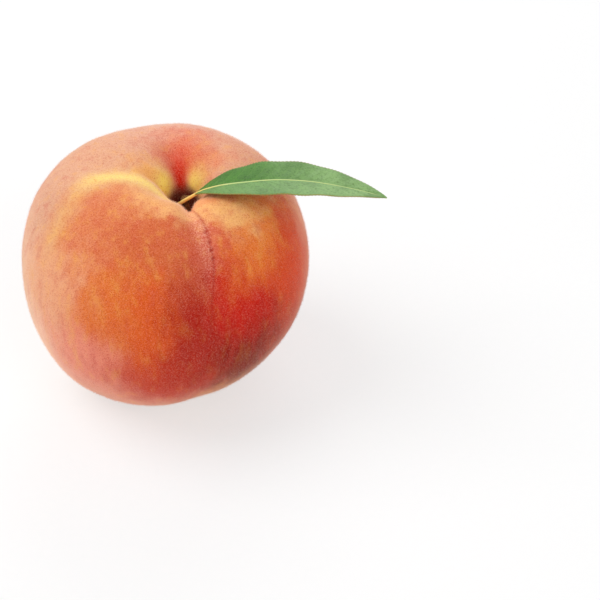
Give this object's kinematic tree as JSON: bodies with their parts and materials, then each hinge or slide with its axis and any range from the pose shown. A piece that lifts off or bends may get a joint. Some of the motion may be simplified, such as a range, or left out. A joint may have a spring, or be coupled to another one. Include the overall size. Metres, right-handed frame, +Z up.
{
  "type": "peach",
  "caption": "Whole ripe peach with a shallow suture, a stem stub in its top cavity and a leaf growing from the stub.",
  "frame": {"origin": "in the small flat spot that the fruit rests on, where its skin is pressed most, almost under the centre of mass", "axes": "+Z up, +X towards the side that the leaf reaches out to, -Y towards the front, which carries the suture"},
  "size_m": [0.0983, 0.0758, 0.0706],
  "materials": {
    "fruit_skin": "downy matte skin, orange to crimson blush over yellow ground",
    "stem_wood": "rough dry brown bark",
    "leaf": "waxy green blade, pale yellow-green midrib and petiole"
  },
  "bodies": {
    "root": {"fruit": "fruit_skin", "stem": "stem_wood", "leaf": "leaf"}
  },
  "joints": []
}
